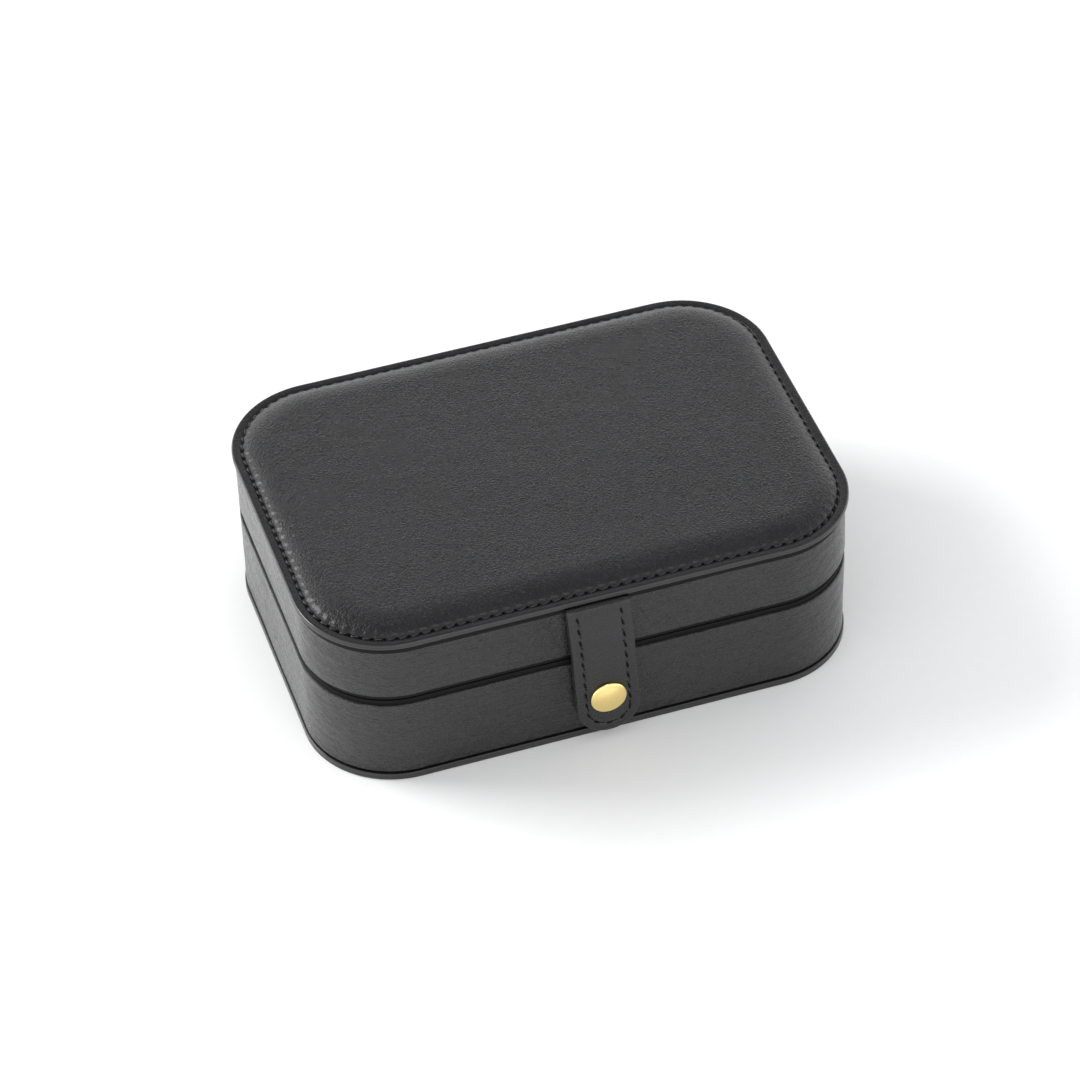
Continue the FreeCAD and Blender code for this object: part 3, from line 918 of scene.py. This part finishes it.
spineLow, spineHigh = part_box("hinge_spine")
spine = {
    "length": spineHigh.x - spineLow.x, "height": spineHigh.z - spineLow.z,
    "proud": 0.45 * mm, "sunk": 0.15 * mm, "edgeRound": 0.2 * mm, "radius": 2 * mm,
    "dip": 0.22 * mm, "dipReach": 1.6 * mm, "bendReach": 2.4 * mm,
    "stitchInset": 1.7 * mm, "pitch": 3.4 * mm, "stitchLength": 2.4 * mm, "threadWidth": 0.55 * mm,
}
lining = {
    "loopRadius": 1.86 * mm, "halfChord": 1.6 * mm, "thickness": 0.5 * mm, "tab": 3.0 * mm,
    "edgeRound": 0.12 * mm, "radius": 1 * mm,
}
strip = {"acrossSpacing": 0.6 * mm, "alongSpacing": 4 * mm}


def flatStrip(name, length, height, thickness, edge, radius):
    # lies flat about the origin, cut in narrow rows along its length so that it can bend
    piece = startPrimitive(name, bpy.ops.mesh.primitive_plane_add, (0, 0, 0), (length, height, 1))
    bpy.ops.mesh.bevel(offset=radius, affect="VERTICES", segments=6, profile=0.5)
    drawUp(1, thickness - 2 * edge, 1)
    drawRings(arcSteps(edge, edge, 3))
    closeStart(piece, 0, 1, edge)
    for axis, size, spacing in ((1, height, strip["acrossSpacing"]), (0, length, strip["alongSpacing"])):
        sliceAcross(axis, [number * spacing - size / 2 for number in range(1, round(size / spacing))])
    bpy.ops.object.mode_set(mode="OBJECT")
    return piece


def hingeSpine():
    d = spine
    outer = wallHigh.y
    thickness = d["proud"] + d["sunk"]
    piece = flatStrip("hingeSpine", d["length"], d["height"], thickness, d["edgeRound"], d["radius"])

    def stand(place, normal):
        # sinks a little along the seam, as leather does over a gap
        dip = d["dip"] * math.exp(-(place.y / d["dipReach"]) ** 2)
        y = outer - d["sunk"] + d["edgeRound"] + place.z - dip
        return Vector((place.x, y, seamHeight + place.y)) - place

    movePoints(piece, stand)
    closeNormals(piece)
    smoothPiece(piece, 60)
    dress(piece, wallLeather, edgeBlack, lambda centre, normal: abs(normal.y) < 0.5)
    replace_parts(piece, "hinge_spine")
    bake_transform(piece)
    count = round((d["length"] - 2 * d["stitchInset"]) / d["pitch"])
    for body, side in (("base", -1), ("lid", 1)):
        z = seamHeight + side * (d["height"] / 2 - d["stitchInset"])
        places = [stitchPlace(Vector(((number - (count - 1) / 2) * d["pitch"], outer + d["proud"], z)),
                              Vector((1, 0, 0)), Vector((0, 1, 0))) for number in range(count)]
        stitches = sewLine(f"spineStitches_{body}", places, d["stitchLength"], d["threadWidth"], blackThread)
        settle(stitches, body)


def liningStrip():
    d = lining
    low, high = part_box("hinge_lining_strip")
    face = high.y
    sink = math.sqrt(d["loopRadius"] ** 2 - d["halfChord"] ** 2)
    centre = face - d["thickness"] / 2 - sink
    turn = math.pi - math.asin(d["halfChord"] / d["loopRadius"])
    loopHalf = turn * d["loopRadius"]
    length = 2 * (loopHalf + d["tab"])
    piece = flatStrip("hingeLiningStrip", high.x - low.x, length, d["thickness"], d["edgeRound"], d["radius"])

    def curl(place, normal):
        depth = place.z + d["edgeRound"] - d["thickness"] / 2
        if abs(place.y) < loopHalf:
            angle = place.y / d["loopRadius"]
            radius = d["loopRadius"] + depth
            y, z = centre - radius * math.cos(angle), seamHeight + radius * math.sin(angle)
        else:
            beyond = abs(place.y) - loopHalf + d["halfChord"]
            y, z = face - d["thickness"] / 2 - depth, seamHeight + math.copysign(beyond, place.y)
        return Vector((place.x, y, z)) - place

    movePoints(piece, curl)
    closeNormals(piece)
    smoothPiece(piece, 60)
    dress(piece, liningSuede)
    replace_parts(piece, "hinge_lining_strip")
    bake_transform(piece)


hingeSpine()
liningStrip()
print("hinge made")


# inside: ring rolls, dividers, floor pad, ceiling and the mirror's border

roll = {
    "shrink": 0.7 * mm, "topRound": 0.48, "topSteps": 10, "footRound": 1.2 * mm, "footSteps": 3,
    "voxel": 1.5 * mm, "scale": 10, "pressure": 4.0, "frames": 20, "cap": 0.8 * mm,
    "unevenness": 0.12 * mm, "unevenSize": 7 * mm,
}


def softRoll():
    # starts a little small and swells in the cloth solver
    low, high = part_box("ring_roll_1")
    size = high - low
    middle = (low + high) / 2
    shrink = roll["shrink"]
    piece = startPrimitive("ringRoll_1", bpy.ops.mesh.primitive_cube_add, middle,
                           [side - shrink for side in size])

    def roundOver(test, offset, steps):
        # the edges along the roll at the heights that pass the test
        selectParts(piece, "edges", lambda edge: all(test(v.co.z) for v in edge.verts)
                    and abs(edge.verts[0].co.y - edge.verts[1].co.y) < 0.001 * mm)
        bpy.ops.mesh.bevel(offset=offset, segments=steps, affect="EDGES")

    roundOver(lambda z: z > middle.z, (size.y - shrink) * roll["topRound"], roll["topSteps"])
    roundOver(lambda z: z < low.z + shrink, roll["footRound"], roll["footSteps"])
    bpy.ops.object.mode_set(mode="OBJECT")
    swell(piece)
    keepInside(piece, low, high)
    closeNormals(piece)
    smoothPiece(piece, 60)
    return piece


def swell(piece):
    # the solver is steadier at ten times the size
    scene = bpy.context.scene
    scale = roll["scale"]
    applyModifier(piece, "REMESH", "voxels", {"mode": "VOXEL", "voxel_size": roll["voxel"]})
    before = [vertex.co.copy() for vertex in piece.data.vertices]
    piece.data.transform(Matrix.Scale(scale, 4))
    cloth = piece.modifiers.new("cloth", "CLOTH")
    cloth.settings.use_pressure = True
    cloth.settings.uniform_pressure_force = roll["pressure"]
    cloth.settings.effector_weights.gravity = 0
    for number in range(1, roll["frames"] + 1):
        scene.frame_set(number)
    pickOnly(piece)
    bpy.ops.object.modifier_apply(modifier="cloth")
    scene.frame_set(1)
    piece.data.transform(Matrix.Scale(1 / scale, 4))
    for vertex, start in zip(piece.data.vertices, before):
        shift = vertex.co - start
        if shift.length > roll["cap"]:
            vertex.co = start + shift.normalized() * roll["cap"]
    applyModifier(piece, "SUBSURF", "smooth", {"levels": 1, "render_levels": 1})


def finishRoll(piece, number):
    # each copy has its own small unevenness
    ripple(piece, roll["unevenness"], roll["unevenSize"], seed=number * 3.7)
    dress(piece, rollSuede)
    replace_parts(piece, f"ring_roll_{number}")
    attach(piece, "base")


firstRoll = softRoll()
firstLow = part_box("ring_roll_1")[0]
rolls = [firstRoll]
for number in range(2, 7):
    copy = firstRoll.copy()
    copy.data = firstRoll.data.copy()
    copy.name = f"ringRoll_{number}"
    bpy.context.collection.objects.link(copy)
    copy.data.transform(Matrix.Translation(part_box(f"ring_roll_{number}")[0] - firstLow))
    rolls.append(copy)
for number, piece in enumerate(rolls, 1):
    finishRoll(piece, number)
print("ring rolls made")


divider = {
    "edgeRound": 1.1 * mm, "edgeSteps": 5, "spacing": 3 * mm, "unevenness": 0.1 * mm, "unevenSize": 6 * mm,
}


def softDivider(name, node):
    # a covered board: rounded edges and slightly uneven faces
    d = divider
    low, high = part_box(node)
    piece = startPrimitive(name, bpy.ops.mesh.primitive_cube_add, (low + high) / 2, high - low)
    bpy.ops.mesh.bevel(offset=d["edgeRound"], segments=d["edgeSteps"], affect="EDGES")
    for axis in range(3):
        size = high[axis] - low[axis]
        count = round(size / d["spacing"])
        sliceAcross(axis, [low[axis] + size * number / count for number in range(1, count)])
    bpy.ops.object.mode_set(mode="OBJECT")
    closeNormals(piece)
    ripple(piece, d["unevenness"], d["unevenSize"], seed=low.x * 100)
    keepInside(piece, low, high)
    smoothPiece(piece, 60)
    dress(piece, liningSuede)
    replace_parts(piece, node)
    settle(piece, "base")


for side in ("left", "right", "side"):
    softDivider(f"divider{side.capitalize()}", f"divider_{side}")

floorPad = {
    "edgeRound": 0.6 * mm, "underRound": 0.1 * mm, "ring": 2.5 * mm, "rings": 2,
    "spacing": 3 * mm, "cornerSteps": 16, "middle": 5 * mm, "dish": 0.15 * mm, "dishSize": 20 * mm,
}


def softFloor():
    # a thin padded panel in the outline of the inside, its face slightly dished
    d = floorPad
    low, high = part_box("base_floor_pad")
    inset = (caseLength - (high.x - low.x)) / 2
    edge, under = d["edgeRound"], d["underRound"]
    piece = startOutline("floorPad", inset, low.z + under, 1, d["spacing"], d["cornerSteps"])
    drawUp(1, high.z - low.z - edge - under, 1)
    drawRings(arcSteps(edge, edge, 4))
    drawRings([(d["ring"], 0)] * d["rings"])
    cutMiddle(piece, 1, d["middle"])
    closeStart(piece, low.z + under, 1, under, 1)
    bpy.ops.object.mode_set(mode="OBJECT")
    closeNormals(piece)

    def dish(place, normal):
        if abs(place.z - high.z) > 0.05 * mm:
            return Vector()
        uneven = noise.noise(Vector((place.x / d["dishSize"], place.y / d["dishSize"], 4)))
        return Vector((0, 0, -d["dish"] * (0.6 + 0.8 * uneven)))

    movePoints(piece, dish)
    smoothPiece(piece, 60)
    dress(piece, liningSuede)
    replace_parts(piece, "base_floor_pad")
    settle(piece, "base")


softFloor()
wallLining = {
    "thickness": 0.75 * mm, "inset": 0.8 * mm, "spacing": 3 * mm, "cornerSteps": 20, "rowHeight": 2.5 * mm,
    "unevenness": 0.14 * mm, "unevenSize": 9 * mm,
}


def liningRing(name, node, body, seed):
    # suede stuck to the inside of a wall, a little uneven
    d = wallLining
    low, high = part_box(node)
    inset = (caseLength - (high.x - low.x)) / 2 + d["inset"]
    piece = startOutline(name, inset, low.z, 1, d["spacing"], d["cornerSteps"])
    drawUp(1, high.z - low.z, round((high.z - low.z) / d["rowHeight"]))
    selectParts(piece, "faces", lambda face: abs(face.normal.z) > 0.9)
    bpy.ops.mesh.delete(type="FACE")
    bpy.ops.object.mode_set(mode="OBJECT")
    closeNormals(piece)
    ripple(piece, d["unevenness"], d["unevenSize"], (1, 1, 0.8), seed=seed)
    applyModifier(piece, "SOLIDIFY", "thickness",
                  {"thickness": d["thickness"], "offset": 1, "use_even_offset": True})
    smoothPiece(piece, 60)
    dress(piece, liningSuede)
    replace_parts(piece, node)
    settle(piece, body)


def softCopy(name, node, material, body, edge):
    # the same flat shape with its edges rounded over
    piece = bpy.data.objects.new(name, nodes[node].data.copy())
    bpy.context.collection.objects.link(piece)
    closeNormals(piece)
    editPiece(piece)
    bpy.ops.mesh.select_all(action="SELECT")
    bpy.ops.mesh.dissolve_limited(angle_limit=math.radians(1))
    bpy.ops.object.mode_set(mode="OBJECT")
    applyModifier(piece, "BEVEL", "edges", {"width": edge, "segments": 3, "limit_method": "ANGLE",
                                            "angle_limit": math.radians(40)})
    smoothPiece(piece, 60)
    dress(piece, material)
    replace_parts(piece, node)
    settle(piece, body)


liningRing("baseWallLining", "base_wall_lining", "base", 1.9)
liningRing("lidWallLining", "lid_wall_lining", "lid", 6.4)
softCopy("ceilingLining", "lid_ceiling_lining", liningSuede, "lid", 0.35 * mm)
softCopy("mirrorBorder", "mirror_border", liningSuede, "lid", 0.28 * mm)
softCopy("strapAnchorTab", "strap_anchor_tab", strapLeather, "lid", 0.3 * mm)

for node, material in (("base_wall_frame", board), ("lid_wall_frame", board), ("lid_top_board", board),
                       ("lid_mirror", mirror), ("snap_stud", brass), ("snap_socket", brass),
                       ("snap_washer", brass)):
    dress(nodes[node], material)
print("inside made")


# floor, light and camera

stage = {"size": 6.0, "drop": 0.0001, "horizon": 2.6, "overhead": 0.65, "windowSide": 0.08}


def paperFloor():
    deselectAll()
    bpy.ops.mesh.primitive_plane_add(size=stage["size"], location=(0, 0, -stage["drop"]))
    floor = bpy.context.object
    floor.name = "paperFloor"
    material, tree, shader, place = startMaterial("paleFloor", {"IOR": 1.3, "Specular IOR Level": 0.1})
    grain = addNoise(tree, place, 300, 3)
    tree.links.new(addColours(tree, grain, (0.9, 0.9, 0.9), (0.93, 0.93, 0.93)), shader.inputs["Base Color"])
    tree.links.new(addRange(tree, grain, 0.85, 0.95), shader.inputs["Roughness"])
    dress(floor, material)


def softSky():
    # brightest near the horizon and towards the window, darker overhead
    world = bpy.data.worlds.new("softSky")
    world.use_nodes = True
    tree = world.node_tree
    direction = tree.nodes.new("ShaderNodeTexCoord").outputs["Generated"]
    parts = addNode(tree, "ShaderNodeSeparateXYZ", {0: direction}).outputs
    low = addMath(tree, addRange(tree, parts["Z"], 1.0, 0.0, 0.0, 1.0), 2.0, "POWER")
    height = addRange(tree, low, stage["overhead"], stage["horizon"], 0.0, 1.0)
    slanted = addMath(tree, addMath(tree, parts["X"], -stage["windowSide"], "MULTIPLY"), 1.0, "ADD")
    tree.links.new(addMath(tree, height, slanted, "MULTIPLY"), tree.nodes["Background"].inputs["Strength"])
    tree.nodes["Background"].inputs["Color"].default_value = (0.985, 0.99, 1, 1)
    bpy.context.scene.world = world


lamps = {
    "windowLamp": {"place": (-1.32, 0.86, 1.08), "size": (0.8, 0.6), "power": 23},
    "fillLamp": {"place": (0.1, -1.3, 1.5), "size": (0.5, 0.35), "power": 3.2},
}
lampAim = Vector((0, 0, 0.02))


def softLamp(name, place, size, power):
    deselectAll()
    bpy.ops.object.light_add(type="AREA", location=place)
    lamp = bpy.context.object
    lamp.name = name
    lamp.data.shape = "RECTANGLE"
    lamp.data.size, lamp.data.size_y = size
    lamp.data.energy = power
    lamp.rotation_euler = (lampAim - Vector(place)).to_track_quat("-Z", "Y").to_euler()


view = {"azimuth": -16.905, "elevation": 42.74, "roll": -2.0055, "distance": 1.1713, "lens": 144.19,
        "aim": (-0.0002, -0.00055, 0.0228)}


def caseCamera():
    azimuth, elevation = math.radians(view["azimuth"]), math.radians(view["elevation"])
    level = math.cos(elevation)
    back = Vector((math.sin(azimuth) * level, -math.cos(azimuth) * level, math.sin(elevation)))
    deselectAll()
    bpy.ops.object.camera_add(location=Vector(view["aim"]) + back * view["distance"])
    camera = bpy.context.object
    camera.data.lens = view["lens"]
    camera.data.sensor_width = 36
    camera.data.clip_start = 0.05
    camera.rotation_euler = ((-back).to_track_quat("-Z", "Y").to_matrix()
                             @ Matrix.Rotation(math.radians(view["roll"]), 3, "Z")).to_euler()
    bpy.context.scene.camera = camera


paperFloor()
softSky()
for name, lamp in lamps.items():
    softLamp(name, **lamp)
caseCamera()
bpy.context.scene.view_settings.view_transform = "Standard"
print("stage set")
